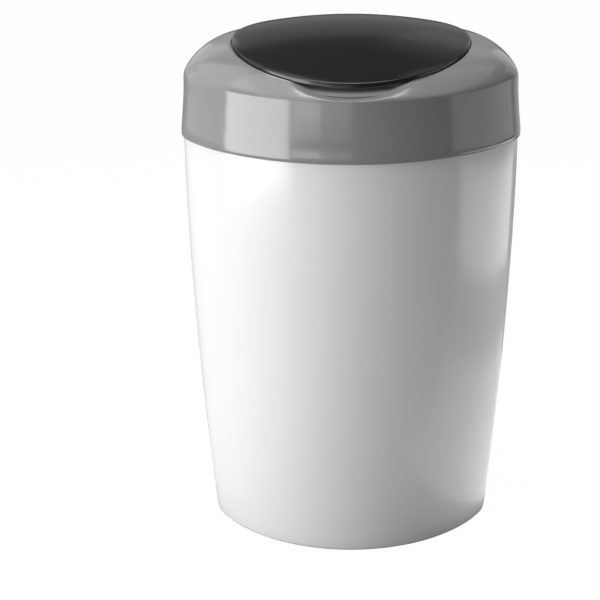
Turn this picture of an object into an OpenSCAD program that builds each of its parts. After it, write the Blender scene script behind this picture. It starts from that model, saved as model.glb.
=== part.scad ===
// Nappy bin with a hinged cover, a flip lid and a twist dial that turns the film refill.
// Millimetres, +Z up, front of the bin towards -Y, origin on the floor below the middle of the box.

/* [Overall size] */
// Width over the flared lip of the cover
bin_w = 256; // [252:1:260]
// Depth from the front lip to the stop at the back of the hinge
bin_d = 250; // [248:1:253]
// Height of the seam between the body and the cover
seam_z = 318; // [290:1:340]
// Height of the cover and the closed lid above the seam
cover_h = 82; // [81:1:84]

/* [Body] */
// How far the walls draw in from the seam down to the base
base_taper = 16.8; // [10:0.2:18]
// Curve of the taper, where 1 is a straight wall
taper_power = 1.85; // [1.4:0.05:2.2]
// Thickness of the body wall
body_t = 2.6; // [2:0.1:3]
// Radius of the body's bottom edge
base_edge_r = 4; // [2:0.5:5]

/* [Plan outline] */
// How far the front bulges past the widest line
front_bulge = 89.3; // [88:0.1:92]
// Radius of the two front corners
corner_r = 35; // [30:1:40]
// Radius of the sides behind the corners
side_r = 160; // [155:1:170]
// Radius of the back
nose_r = 80; // [75:1:85]

/* [Cover] */
// How far the lower lip of the cover stands out from the body
lip_out = 1.8; // [1.2:0.1:2.2]
// Thickness of the cover
cover_t = 2.5; // [2:0.1:2.6]
// Width of the rounded shoulder
shoulder_w = 21.5; // [20:0.5:25]
// Fullness of the shoulder's curve, where 2 is a quarter ellipse
shoulder_power = 2.2; // [2:0.05:2.4]
// How far the closed lid falls from its crown to its front edge
front_drop = 26.6; // [25:0.1:28]
// How far the closed lid falls from its crown to its side edges
side_drop = 10; // [9:0.1:12]

/* [Lid] */
// Radius of the flip lid
lid_r = 88.8; // [87.4:0.1:89]
// Thickness of the lid shell
lid_t = 2.6; // [2:0.1:3]
// Degrees that the lid opens before it meets its stop
lid_swing = 105; // [95:1:110]

/* [Film refill] */
// Outer radius of the refill
refill_r = 84.6; // [83:0.1:84.8]
// Height of the refill's outer wall
refill_h = 46; // [40:1:46]
// Inner radius of the refill
refill_bore_r = 57; // [56.8:0.1:59]

/* [Dial] */
// Number of click teeth round the dial
click_teeth = 48; // [36:12:60]
// How far the cutter button goes down
cutter_travel = 6; // [4:0.5:6]

/* [Hidden] */
$fn = 96;

// Rear hinge of the cover. Its stop noses set the depth of the bin.
knuckle_r = 3.6;
stop_reach = 6.6;
hinge_y = bin_d / 2 - stop_reach;
hinge_z = seam_z + 3.6;
deck_knuckle_half = 13.8;
cover_knuckle_in = 14.2;
cover_knuckle_out = 25;
pin_r = 1.5;
pin_press = 0.02;
pin_play = 0.06;

// Plan outline of the body at the seam
half_w = bin_w / 2 - lip_out;
front_y = -bin_d / 2 + lip_out;
back_y = hinge_y - 0.8;
wide_y = front_y + front_bulge;
corner_x = half_w - corner_r;
front_r = (pow(corner_x, 2) + pow(front_bulge, 2) - pow(corner_r, 2)) / (2 * (front_bulge - corner_r));
front_c = [0, front_y + front_r];
corner_c = [corner_x, wide_y];
nose_c = [0, back_y - nose_r];
// The side arc holds the corner circle and the back circle inside it and touches both
span = norm(nose_c - corner_c);
along = (nose_c - corner_c) / span;
corner_reach = side_r - corner_r;
nose_reach = side_r - nose_r;
side_along = (pow(corner_reach, 2) - pow(nose_reach, 2) + pow(span, 2)) / (2 * span);
side_off = sqrt(pow(corner_reach, 2) - pow(side_along, 2));
side_c = corner_c + side_along * along - side_off * [along[1], -along[0]];
a_front = direction(corner_c - front_c);
a_corner = direction(corner_c - side_c);
a_side = direction(nose_c - side_c);
// Each arc is centre, radius, first angle, last angle and number of steps
ARCS = [[front_c, front_r, -180 - a_front, a_front, 22],
        [corner_c, corner_r, a_front, a_corner, 5],
        [side_c, side_r, a_corner, a_side, 14],
        [nose_c, nose_r, a_side, 180 - a_side, 8],
        [mirrored(side_c), side_r, 180 - a_side, 180 - a_corner, 14],
        [mirrored(corner_c), corner_r, 180 - a_corner, 180 - a_front, 5]];

// Heights
neck_z = seam_z + 10;
deck_z = neck_z + 2.5;
crown_z = seam_z + cover_h;
wall_z = crown_z - 38;
plate_z = seam_z + 29;
plate_top = plate_z + 2.5;
collar_z = plate_z + 10;
dial_z = plate_z + 11;
carrier_z = plate_z - 60;
carrier_top = plate_z - 7;
well_floor_z = carrier_z - 3;
refill_z = carrier_z + 2.5;
film_z = refill_z + 1.5;
film_h = refill_h - 9;

// Neck of the body
neck_in = 4.2;
neck_t = 2.4;

// Twist axis and the round parts about it
axis_y = front_y + 100.2;
rebate_r = lid_r + 0.8;
rebate_d = 2.5;
collar_r = 80;
sleeve_r = 77.4;
flange_r = 90;
flange_z = plate_z - 3.5;
flange_t = 3.2;
tooth_d = 1.3;
tooth_root_r = flange_r - tooth_d - 0.7;
dog_r = 87.4;
dog_t = 1.8;
dog_w = 10;
dog_play = 2;
carrier_r = 87.6;
well_r = 88.6;
well_t = 2.2;
hub_r = 54.1;
hub_bore_r = 51.6;
core_r = hub_r + 0.3;
core_t = 2.2;

// Domed top, as a drop from the crown
dome_y = -3;
drop_x = side_drop / pow(lid_r, 2);
drop_y = front_drop / pow(axis_y - lid_r - dome_y, 2);
cover_below_lid = 2.2;
rebate_floor = rebate_d + cover_below_lid;
wall_in = 1.2;
collar_t = 2.4;

// Hinge of the flip lid, and the slanted plane that the lid closes on
lid_hinge_y = axis_y + lid_r + 4;
lid_hinge_z = dome(0, lid_hinge_y - 4) - 4.5;
lid_knuckle_half = 12.6;
lid_tilt = atan((dome(0, axis_y + lid_r) - dome(0, axis_y - lid_r)) / (2 * lid_r));
sleeve_top_z = dome(0, axis_y) - 24.1;
panel_z = 2.4;
panel_t = 2;
// The stop is a nose on the lid's barrel that swings round to a block on the frame
nose_angle = 35;
nose_l = 6.3;
nose_t = 2.4;
stop_play = 0.15;

// Finger scoop below the front edge of the lid, as an ellipsoid
scoop_c = [0, front_y - 1.5, wall_z + 54.7];
scoop_size = [86.8, 67, 54];
scoop_t = 2.2;
scoop_back_r = collar_r + 3.5;

// Cutter, in a chimney on the inside of the dial. It is drawn with X as the way out from the axis.
cutter_a = -55;
chimney_x = [47.4, 57.5];
chimney_half = 8.2;
chimney_t = 1.4;
guard_t = 1.2;
guard_z = plate_z - 6;
button_x = [50.2, 54.7];
button_half = 4.9;
button_play = 0.3;
button_flange = 1.6;
button_z = dial_z - 1.6 - button_play - button_flange;
blade_x = 55;
blade_t = 0.6;
blade_half = 3.2;
blade_tip_z = guard_z + guard_t + 0.7;
spring_x = 52.2;
spring_r = 1.9;
spring_wire_r = 0.25;
spring_turns = 6;

// Screws
head_h = 1.6;
shank_r = 1.5;
thread_r = 1.55;
through_r = 1.65;
GRIP_SCREWS = [for (a = [30:60:330]) polar(74, a)];
COVER_SCREWS = [[106, wide_y - 8], [-106, wide_y - 8], [66, 58], [-66, 58]];
RETAINER_ANGLES = [-35, 0, 60, 120, 180, 215];
RETAINER_SCREWS = [for (a = RETAINER_ANGLES) polar(97, a)];
LID_SCREW_ANGLES = [25, 155, 205, 335];
lid_screw_r = 60;
CATCHES = [[89.5, wide_y - 32], [-89.5, wide_y - 32]];

white = "white";
cover_grey = [0.55, 0.55, 0.56];
inner_grey = [0.82, 0.83, 0.84];
grip_grey = [0.45, 0.46, 0.47];
rubber_grey = [0.3, 0.31, 0.32];
lid_black = [0.1, 0.1, 0.1];
film_green = [0.85, 0.93, 0.88];

function direction(v) = atan2(v[1], v[0]);
function mirrored(p) = [-p[0], p[1]];
function polar(r, a) = [r * cos(a), axis_y + r * sin(a)];
function taper(z) = base_taper * pow(max(0, 1 - z / seam_z), taper_power);
function dome(x, y) = crown_z - drop_x * x * x - drop_y * pow(y - dome_y, 2);

// Points of the plan outline, moved inwards by inset
function outline(inset) = [for (a = ARCS) for (k = [0:a[4] - 1])
    let (t = a[2] + (a[3] - a[2]) * k / a[4])
    a[0] + (a[1] - inset) * [cos(t), sin(t)]];

function ring(inset, z) = [for (p = outline(inset)) [p[0], p[1], z]];

// Rings about the twist axis, with one point for each point of the plan outline
DIRS = [for (p = outline(0)) let (v = p - [0, axis_y]) v / norm(v)];
function dome_ring(r, below) = [for (d = DIRS)
    let (p = [0, axis_y] + r * d)
    [p[0], p[1], dome(p[0], p[1]) - below]];
function level_ring(r, z) = [for (d = DIRS) [r * d[0], axis_y + r * d[1], z]];

// One ring of the shoulder, at share s of the way from the wall to the ring of radius r.
// Its height climbs from the wall as a quarter ellipse of width w, and then follows the dome.
function shoulder_ring(s, inset, r, below, w) =
    let (wall = outline(inset))
    [for (i = [0:len(wall) - 1])
        let (goal = [0, axis_y] + r * DIRS[i],
             reach = norm(goal - wall[i]),
             p = wall[i] + s * (goal - wall[i]),
             width = min(w, 1.5 * reach),
             q = min(1, s * reach / width),
             climb = pow(1 - pow(1 - q, shoulder_power), 1 / shoulder_power))
        [p[0], p[1], wall_z + (dome(p[0], p[1]) - below - wall_z) * climb]];

// Triangles between rings of n points, where ring j joins ring j + 1 and the last may join the first
function band(n, m, last) = [for (j = [0:last]) for (i = [0:n - 1])
    let (next = (j + 1) % m, k = (i + 1) % n)
    each [[j * n + i, next * n + i, next * n + k], [j * n + i, next * n + k, j * n + k]]];

// Solid through stacked rings, closed by a face at each end
module loft(rings) {
    n = len(rings[0]);
    m = len(rings);
    first_face = [for (i = [0:n - 1]) i];
    last_face = [for (i = [n - 1:-1:0]) (m - 1) * n + i];
    polyhedron(points = [for (r = rings) each r],
               faces = concat([first_face], band(n, m, m - 2), [last_face]));
}

// Shell through rings that follow each other round a hollow profile
module ring_loft(rings) {
    n = len(rings[0]);
    m = len(rings);
    polyhedron(points = [for (r = rings) each r], faces = band(n, m, m - 1));
}

module at_axis(z = 0) translate([0, axis_y, z]) children();

module at_lid_plane() at_axis(sleeve_top_z) rotate([lid_tilt, 0, 0]) children();

module at_cutter(z = 0) at_axis(z) rotate(cutter_a) children();

module both_sides() for (s = [0, 1]) mirror([s, 0, 0]) children();

module tube(r_out, r_in, z0, z1) at_axis(z0) difference() {
    cylinder(r = r_out, h = z1 - z0);
    translate([0, 0, -1]) cylinder(r = r_in, h = z1 - z0 + 2);
}

// Round bar along X, from x0 to x1
module cross_bar(r, x0, x1, y, z) translate([x0, y, z]) rotate([0, 90, 0]) cylinder(r = r, h = x1 - x0);

// Profile drawn in Y and Z, extruded along X from x0 to x1
module along_x(x0, x1, y, z, profile) translate([x0, y, z]) rotate([90, 0, 90]) linear_extrude(x1 - x0)
    polygon(profile);

// Box from two opposite corners
module block(low, high) translate(low) cube(high - low);

// Screw that points up, with its cross-slotted head at the bottom
module screw(length) difference() {
    union() {
        cylinder(r = 3, h = head_h);
        cylinder(r = shank_r, h = length);
    }
    for (a = [0, 90]) rotate(a) block([-1.8, -0.4, -1], [1.8, 0.4, 0.8]);
}

// Upright hole or post at each of the listed places
module at_each(places, z) for (p = places) translate([p[0], p[1], z]) children();

// Blow-moulded body with a foot ring below and a neck above the seam
module bin_body() color(white) difference() {
    loft(concat(body_outside(), body_inside()));
    foot_w = 9;
    foot_h = 2;
    translate([0, 0, -1]) linear_extrude(1 + foot_h) polygon(outline(taper(0) + base_edge_r + foot_w));
}

function body_outside() = concat(
    [for (a = [0, 30, 60]) ring(taper(0) + base_edge_r * (1 - sin(a)), base_edge_r * (1 - cos(a)))],
    [for (s = [0.0126, 0.06, 0.13, 0.22, 0.33, 0.46, 0.6, 0.74, 0.88, 0.994])
        ring(taper(s * seam_z), s * seam_z)],
    [ring(0.5, seam_z - 1), ring(neck_in, seam_z - 1), ring(neck_in, neck_z - 0.6),
     ring(neck_in + 0.6, neck_z)]);

function body_inside() =
    let (floor_z = 5, floor_r = 7)
    concat(
    [ring(neck_in + neck_t, neck_z), ring(neck_in + neck_t, seam_z - 4), ring(body_t + 0.1, seam_z - 6)],
    [for (s = [0.8, 0.6, 0.42, 0.26, 0.12]) ring(taper(s * seam_z) + body_t, s * seam_z)],
    [for (a = [60, 30, 0])
        ring(taper(floor_z) + body_t + floor_r * (1 - sin(a)), floor_z + floor_r * (1 - cos(a)))]);

// Fixed frame in the mouth of the body, with the well for the refill and half of the rear hinge
module deck() color(inner_grey) difference() {
    union() {
        translate([0, 0, neck_z]) linear_extrude(deck_z - neck_z) polygon(outline(neck_in + 0.4));
        deck_skirt();
        at_axis(well_floor_z) cylinder(r = well_r + well_t, h = deck_z - well_floor_z - 0.2);
        both_sides() for (a = [-8, 25, 62]) deck_rib(a);
        at_each(GRIP_SCREWS, well_floor_z - 3) cylinder(r = 4, h = 3.1);
        along_x(-deck_knuckle_half, deck_knuckle_half, hinge_y, hinge_z,
                [[-14, neck_z - hinge_z], [-4.5, neck_z - hinge_z], [-3.3, 2.4], [-3.3, 0], [3.3, 0],
                 [3, 2.4], [-0.9, deck_z - hinge_z], [-14, deck_z - hinge_z]]);
        cross_bar(knuckle_r, -deck_knuckle_half, deck_knuckle_half, hinge_y, hinge_z);
    }
    deck_well();
    at_axis(well_floor_z - 5) cylinder(r = hub_bore_r, h = 60);
    at_each(GRIP_SCREWS, well_floor_z - 4) cylinder(r = thread_r, h = 5.6);
    at_each(CATCHES, neck_z - 1) block([-7, -1.9, 0], [7, 1.5, 5]);
    cross_bar(pin_r + pin_press, -20, 20, hinge_y, hinge_z);
}

// Skirt that locates the deck inside the neck
module deck_skirt() translate([0, 0, seam_z - 4]) linear_extrude(neck_z - seam_z + 4.1) difference() {
    polygon(outline(neck_in + neck_t + 0.3));
    polygon(outline(neck_in + neck_t + 2.5));
}

// Room for the carrier, with a hub left standing that the carrier turns on
module deck_well() at_axis(carrier_z - 0.3) difference() {
    cylinder(r = well_r, h = 80);
    translate([0, 0, -1]) cylinder(r = hub_r, h = 11);
}

// Upright web between the well and the skirt
module deck_rib(a) intersection() {
    translate([0, 0, seam_z - 4]) linear_extrude(neck_z - seam_z + 4.1)
        polygon(outline(neck_in + neck_t + 0.5));
    at_axis(seam_z - 4) rotate(a) block([well_r + 1, -0.9, 0], [well_r + 90, 0.9, 20]);
}

module cover_hinge_pin() color("silver")
    cross_bar(pin_r, -cover_knuckle_out, cover_knuckle_out, hinge_y, hinge_z);

// Soft ring of fingers that grips the twisted film below the refill
module film_grip() color(grip_grey) difference() {
    at_axis(well_floor_z) rotate_extrude()
        polygon([[49, 0], [69.2, 0], [69.2, -3], [52, -3], [27, -26], [25.4, -24.4]]);
    for (a = [0:30:330]) at_axis(well_floor_z - 40) rotate(a) block([20, -1.25, 0], [51, 1.25, 60]);
}

module grip_retainer() color(inner_grey) difference() {
    at_axis(well_floor_z) rotate_extrude() polygon([[56, -3], [78.5, -3], [78.5, -5.6], [58, -5.6]]);
    at_each(GRIP_SCREWS, well_floor_z - 10) cylinder(r = through_r, h = 12);
}

module grip_screws() color("silver") at_each(GRIP_SCREWS, well_floor_z - 5.6 - head_h) screw(8.2);

// Turning cup that the refill stands in. Open notches in its rim take the dogs of the dial.
module film_carrier() color(white) difference() {
    at_axis(carrier_z) cylinder(r = carrier_r, h = carrier_top - carrier_z);
    at_axis(refill_z) difference() {
        cylinder(r = carrier_r - 2.2, h = 80);
        translate([0, 0, -1]) cylinder(r = core_r + core_t, h = 82);
    }
    at_axis(refill_z + 14) cylinder(r = core_r + core_t + 1, h = 80);
    at_axis(carrier_z - 1) cylinder(r = core_r, h = 80);
    dog_notch = dog_w / 2 + dog_play;
    for (a = [45:90:315]) at_axis(carrier_top - 5) rotate(a) block([70, -dog_notch, 0], [100, dog_notch, 20]);
    thumb_half = 14;
    for (a = [0, 180]) at_axis(carrier_top - 12) rotate(a) block([70, -thumb_half, 0], [100, thumb_half, 20]);
}

// Open tray of the refill, with windows in its outer wall
module refill_tray() color([0.93, 0.95, 0.94]) difference() {
    at_axis(refill_z) rotate_extrude()
        polygon([[refill_bore_r, 0], [refill_r, 0], [refill_r, refill_h - 1], [refill_r - 0.4, refill_h],
                 [refill_r - 1.4, refill_h], [refill_r - 1.6, 1.5], [refill_bore_r + 1.5, 1.5],
                 [refill_bore_r + 1.4, refill_h + 5], [refill_bore_r, refill_h + 5]]);
    for (a = [20:60:320]) at_axis(refill_z + 4) rotate(a)
        block([refill_r - 4, -5, 0], [refill_r + 4, 5, refill_h - 9]);
}

// Film packed into the tray in flat pleats
film_pleats = 9;
pleat_h = film_h / film_pleats;
function film_edge() = [for (k = [0:film_pleats - 1]) each
    [[refill_r - 3, k * pleat_h], [refill_r - 2, (k + 0.5) * pleat_h]]];
module refill_film() color(film_green) at_axis(film_z) rotate_extrude()
    polygon(concat([[refill_bore_r + 2, 0]], film_edge(),
                   [[refill_r - 3, film_h], [refill_bore_r + 2, film_h]]));

// Loose end of the film, tucked over the pleats
module refill_loose_film() color(film_green) at_axis(film_z + film_h) rotate_extrude()
    polygon([[refill_bore_r + 2, 0], [refill_r - 3, 0], [refill_r - 4, 4], [refill_bore_r + 10, 5],
             [refill_bore_r + 2.4, 4]]);

// Outer moulding of the hinged cover, set to the full width over its flared lip
module top_cover() color(cover_grey) resize([bin_w, 0, 0]) difference() {
    union() {
        ring_loft(concat(cover_wall(), cover_top(), cover_collar(), cover_under(), cover_inner_wall()));
        scoop_pan();
        cover_bosses();
    }
    difference() {
        scoop(0);
        at_axis() cylinder(r = scoop_back_r, h = crown_z);
    }
    at_each(COVER_SCREWS, plate_top - 1) cylinder(r = thread_r, h = 12, $fn = 24);
    hinge_gap = cover_knuckle_out + 1.5;
    block([-hinge_gap, hinge_y - 16, seam_z - 5], [hinge_gap, hinge_y + 20, hinge_z + 12.8]);
    block([-22, axis_y + collar_r - 3, lid_hinge_z - 8.5], [22, lid_hinge_y + 6.4, crown_z]);
}

function cover_wall() = [ring(0.8 - lip_out, seam_z), ring(-lip_out, seam_z + 1),
    ring(0.02 - lip_out, seam_z + 3), ring(0.5 - lip_out, seam_z + 10), ring(-0.5, seam_z + 17),
    ring(0.2, seam_z + 24), ring(0.8, seam_z + 33), ring(wall_in, wall_z)];

function cover_top() = [for (s = [0.03, 0.09, 0.17, 0.27, 0.39, 0.54, 0.75, 1])
    shoulder_ring(s, wall_in, rebate_r, cover_below_lid, shoulder_w)];

// Rebate that the lid sits in, and the collar that runs down round the sleeve
function cover_collar() = [dome_ring(rebate_r, rebate_floor), dome_ring(collar_r, rebate_floor),
    level_ring(collar_r, collar_z), level_ring(collar_r + collar_t, collar_z),
    dome_ring(collar_r + collar_t, rebate_floor + collar_t),
    dome_ring(rebate_r + cover_t, rebate_floor + collar_t)];

function cover_under() = [for (s = [1, 0.7, 0.45, 0.25, 0.1])
    shoulder_ring(s, wall_in + cover_t, rebate_r + cover_t, cover_below_lid + cover_t, shoulder_w - cover_t)];

function cover_inner_wall() = [ring(cover_t + wall_in, wall_z), ring(cover_t + 0.2, seam_z + 24),
    ring(cover_t - 1.3, seam_z + 10), ring(cover_t - lip_out + 0.3, seam_z)];

module cover_outer_form() loft(concat(cover_wall(), cover_top()));

module scoop(grow) translate(scoop_c) scale([for (s = scoop_size) s + grow]) sphere(r = 1, $fn = 120);

// Wall behind the scoop, inside the outer form of the cover
module scoop_pan() difference() {
    intersection() {
        cover_outer_form();
        scoop(scoop_t);
    }
    at_axis() cylinder(r = collar_r + 1.2, h = crown_z);
    block([-100, -200, 0], [100, 200, collar_z - 2]);
    rebate_room();
}

// Room above the floor of the rebate
module rebate_room() ring_loft([dome_ring(rebate_r, rebate_floor), dome_ring(rebate_r, -3),
    dome_ring(collar_r - 2, -3), dome_ring(collar_r - 2, rebate_floor)]);

// Screw bosses that run down from the shell to the frame
module cover_bosses() intersection() {
    translate([0, 0, -1.2]) cover_outer_form();
    at_each(COVER_SCREWS, plate_top) cylinder(r = 4.5, h = 60, $fn = 32);
}

// Frame inside the cover: a plate, the sleeve round the dial, and the cover's half of both hinges
module cover_liner() color(inner_grey) difference() {
    union() {
        translate([0, 0, plate_z]) linear_extrude(plate_top - plate_z) polygon(outline(8));
        liner_sleeve();
        both_sides() {
            cover_knuckle();
            lid_knuckle();
        }
        at_each(CATCHES, 0) catch_tongue();
    }
    at_axis(plate_z - 1) cylinder(r = sleeve_r, h = 100);
    at_each(COVER_SCREWS, plate_z - 1) cylinder(r = through_r, h = 5);
    at_each(RETAINER_SCREWS, plate_z - 1) cylinder(r = thread_r, h = 3.3);
    cross_bar(pin_r + pin_play, -40, 40, hinge_y, hinge_z);
    cross_bar(pin_r + pin_press, -40, 40, lid_hinge_y, lid_hinge_z);
}

// The sleeve's top is cut on the slant that the lid closes on
module liner_sleeve() difference() {
    at_axis(plate_z) cylinder(r = collar_r - 0.3, h = 60);
    at_lid_plane() block([-150, -150, 0], [150, 150, 100]);
}

// Arm from the plate to the rear hinge, with a nose that meets the body's back wall at full swing
module cover_knuckle() {
    along_x(cover_knuckle_in, cover_knuckle_out, hinge_y, hinge_z,
            [[-20, plate_top - hinge_z], [-8.9, plate_top - hinge_z], [-8.9, 12], [-1.4, 12], [3.3, 4.4],
             [stop_reach, 1.4], [stop_reach, -1.3], [-3.3, -1.3], [-3.5, 0], [-3.5, deck_z - hinge_z + 0.9],
             [-12.4, deck_z - hinge_z + 3.5], [-20, plate_z - hinge_z - 6]]);
    cross_bar(knuckle_r, cover_knuckle_in, cover_knuckle_out, hinge_y, hinge_z);
}

// Upright that carries the lid's hinge, with the block that stops the lid
module lid_knuckle() {
    low = plate_top - 0.1 - lid_hinge_z;
    along_x(lid_knuckle_half + 0.4, 21.5, lid_hinge_y, lid_hinge_z,
            [[-9.2, low], [3.8, low], [3.6, 0], [-3.6, 0], [-9.2, -9.5]]);
    cross_bar(knuckle_r, lid_knuckle_half + 0.4, 21.5, lid_hinge_y, lid_hinge_z);
    translate([8, lid_hinge_y, lid_hinge_z]) rotate([-nose_angle - lid_swing, 0, 0])
        block([0, 4.4, -nose_t / 2 - stop_play - 2], [5.2, 7.2, -nose_t / 2 - stop_play]);
}

// Springy tongue with a bead that snaps under the deck
module catch_tongue() {
    block([-5.5, -1, neck_z - 6], [5.5, 1, plate_z + 0.1]);
    translate([-5.5, -0.8, neck_z - 2.5]) rotate([0, 90, 0]) cylinder(r = 0.9, h = 11);
}

module liner_screws() color("silver") at_each(COVER_SCREWS, plate_z - head_h) screw(13);

// Ring that holds the dial up against the plate
module dial_retainer() color(inner_grey) difference() {
    union() {
        tube(94.5, dog_r + 0.5, flange_z - 2.8, flange_z - 0.3);
        at_each(RETAINER_SCREWS, flange_z - 2.8) cylinder(r = 4.2, h = plate_z - flange_z + 2.8);
    }
    at_each(RETAINER_SCREWS, plate_z - 9) cylinder(r = through_r, h = 12);
    at_axis(flange_z - 0.3) cylinder(r = flange_r + 1.2, h = 6);
}

module retainer_screws() color("silver") at_each(RETAINER_SCREWS, flange_z - 2.8 - head_h) screw(10);

// Leaf springs that click over the teeth of the dial, pressed into two posts of the retainer
function leaf(side) = [for (t = [0:0.1:1])
    let (a = 13.1 * t)
    (flange_r + 0.3 + 3.2 * t * t + side) * [cos(a), sin(a)]];
module click_springs() color("silver") for (a = [-14, 166]) at_axis(flange_z) rotate(a)
    linear_extrude(flange_t - 0.4) polygon(concat(leaf(0), [for (k = [10:-1:0]) leaf(0.5)[k]]));

module lid_hinge_pin() color("silver") cross_bar(pin_r, -21.5, 21.5, lid_hinge_y, lid_hinge_z);

// Dial under the flip lid, with click teeth round its flange and dogs that turn the carrier
module twist_dial() color(inner_grey) difference() {
    union() {
        at_axis() rotate_extrude() polygon([[55, plate_z - 2.5], [57.2, plate_z - 2.5], [62.5, dial_z - 2.8],
            [74.6, dial_z - 2.8], [74.6, flange_z], [tooth_root_r, flange_z],
            [tooth_root_r, flange_z + flange_t], [77, flange_z + flange_t], [77, dial_z - 1.2],
            [75.8, dial_z], [62.8, dial_z - 0.6], [60.6, dial_z - 1.6]]);
        click_ring();
        dial_dogs();
        at_cutter() block([chimney_x[0], -chimney_half, guard_z + guard_t],
                          [chimney_x[1], chimney_half, dial_z]);
    }
    at_cutter() block([chimney_x[0] + chimney_t, -chimney_half + chimney_t, guard_z],
                      [chimney_x[1] - chimney_t, chimney_half - chimney_t, dial_z - 1.6]);
    at_cutter() block([button_x[0] - button_play, -button_half - button_play, guard_z],
                      [button_x[1] + button_play, button_half + button_play, dial_z + 1]);
}

// Saw teeth, steep on the side that the springs hold
module click_ring() at_axis(flange_z) linear_extrude(flange_t) difference() {
    step = 360 / click_teeth;
    polygon([for (k = [0:click_teeth - 1]) each [flange_r * [cos(k * step), sin(k * step)],
        (flange_r - tooth_d) * [cos((k + 0.15) * step), sin((k + 0.15) * step)]]]);
    circle(r = tooth_root_r - 0.5);
}

module dial_dogs() for (a = [45:90:315]) at_axis(plate_z - 11) rotate(a) intersection() {
    difference() {
        cylinder(r = dog_r, h = 8);
        translate([0, 0, -1]) cylinder(r = dog_r - dog_t, h = 12);
    }
    block([60, -dog_w / 2, 0], [100, dog_w / 2, 8]);
}

// Two raised finger grips on the dial
module dial_grips() color(grip_grey) for (a = [0, 180]) at_axis() rotate(a) intersection() {
    rotate_extrude() polygon([[64, dial_z - 0.53], [74.5, dial_z - 0.04], [73.6, dial_z + 4],
                              [72, dial_z + 4.6], [66.5, dial_z + 4.2], [65, dial_z + 3.4]]);
    block([60, -24, dial_z - 5], [80, 24, dial_z + 10]);
}

// Plate under the chimney, with the slot that the blade comes out of
module cutter_guard() color(grip_grey) at_cutter() difference() {
    block([chimney_x[0], -chimney_half, guard_z], [chimney_x[1], chimney_half, guard_z + guard_t]);
    block([blade_x - 0.35, -blade_half - 0.4, guard_z - 1],
          [blade_x + blade_t + 0.35, blade_half + 0.4, guard_z + 3]);
}

module cutter_button() color(grip_grey) at_cutter() {
    inset = chimney_t + button_play;
    block([chimney_x[0] + inset, -chimney_half + inset, button_z],
          [chimney_x[1] - inset, chimney_half - inset, button_z + button_flange]);
    block([button_x[0], -button_half, button_z + 0.1],
          [button_x[1], button_half, dial_z + cutter_travel - 1.5]);
}

// Blade with a slanted edge, wholly inside the chimney until the button is pressed
module cutter_blade() color("silver") at_cutter() translate([blade_x, 0, 0]) rotate([90, 0, 90])
    linear_extrude(blade_t) polygon([[-blade_half, button_z], [-blade_half, blade_tip_z],
                                     [blade_half, blade_tip_z + 3], [blade_half, button_z]]);

// Points of the spring's centre line, eight to a turn
coil_steps = 8;
coil_low = guard_z + guard_t + spring_wire_r + 0.05;
coil_h = button_z - spring_wire_r - 0.05 - coil_low;
coil_pitch = coil_h / spring_turns;
COIL = [for (k = [0:coil_steps * spring_turns]) let (t = 360 * k / coil_steps)
    [spring_r * cos(t), spring_r * sin(t), coil_h * k / (coil_steps * spring_turns)]];
COIL_GAPS = [for (k = [0:len(COIL) - 1 - coil_steps]) norm(COIL[k + coil_steps] - COIL[k])];
coil_gap = min(COIL_GAPS) - 2 * spring_wire_r;
echo(str("Least gap between turns of the cutter spring, mm: ", coil_gap));

module cutter_spring() color("silver") at_cutter(coil_low) translate([spring_x, 0, 0])
    loft([for (k = [0:len(COIL) - 1])
        let (t = 360 * k / coil_steps,
             out = [cos(t), sin(t), 0],
             forward = [-sin(t) * 2 * PI * spring_r, cos(t) * 2 * PI * spring_r, coil_pitch],
             up = cross(forward / norm(forward), out))
        [for (s = [0:60:300]) COIL[k] + spring_wire_r * (cos(s) * out + sin(s) * up)]]);

// Domed shell of the flip lid, with bosses for the screws of the plunger
module flip_lid() color(lid_black) difference() {
    union() {
        loft(concat([for (r = [10, 40, 66, 84.2]) lid_ring(r, lid_t)],
                    [lid_ring(85, 3.4), lid_ring(lid_r - 0.6, 3.5), lid_ring(lid_r, 2.9), lid_ring(lid_r, 1.5),
                     lid_ring(lid_r - 0.7, 0.6), lid_ring(lid_r - 2, 0.12)],
                    [for (r = [82, 68, 50, 30, 12]) lid_ring(r, 0)]));
        at_lid_screws(panel_z + panel_t) cylinder(r = 3.5, h = 13.6);
    }
    at_lid_screws(panel_z) cylinder(r = thread_r, h = 10);
}

lid_steps = 72;
function lid_ring(r, below) = [for (k = [0:lid_steps - 1]) let (p = polar(r, k * 360 / lid_steps))
    [p[0], p[1], dome(p[0], p[1]) - below]];

module at_lid_screws(z) for (a = LID_SCREW_ANGLES) at_lid_plane() rotate(a)
    translate([lid_screw_r, 0, z]) children();

// Inner panel of the lid, with the hollow plunger that pushes the nappy down, and the lid's hinge barrel
module lid_plunger() color(inner_grey) difference() {
    union() {
        at_lid_plane() rotate_extrude() polygon([[0, -22], [34, -20.5], [40, -17], [44, panel_z],
            [78.6, panel_z], [78.6, panel_z + panel_t], [42.2, panel_z + panel_t],
            [38.4, -15.5], [33, -18.4], [0, -19.8]]);
        along_x(-7, 7, lid_hinge_y, lid_hinge_z,
                [[-16, 0.1], [-16, 1.8], [-13.6, 1.8], [-8.2, 0.6], [0, 0.6], [0, -2.6], [-8.8, -2.6],
                 [-12.6, -0.2]]);
        cross_bar(knuckle_r, -lid_knuckle_half, lid_knuckle_half, lid_hinge_y, lid_hinge_z);
        both_sides() translate([8, lid_hinge_y, lid_hinge_z]) rotate([-nose_angle, 0, 0])
            block([0, 0, -nose_t / 2], [4, nose_l, nose_t / 2]);
    }
    cross_bar(pin_r + pin_play, -20, 20, lid_hinge_y, lid_hinge_z);
    at_lid_screws(0) cylinder(r = through_r, h = 7);
}

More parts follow.
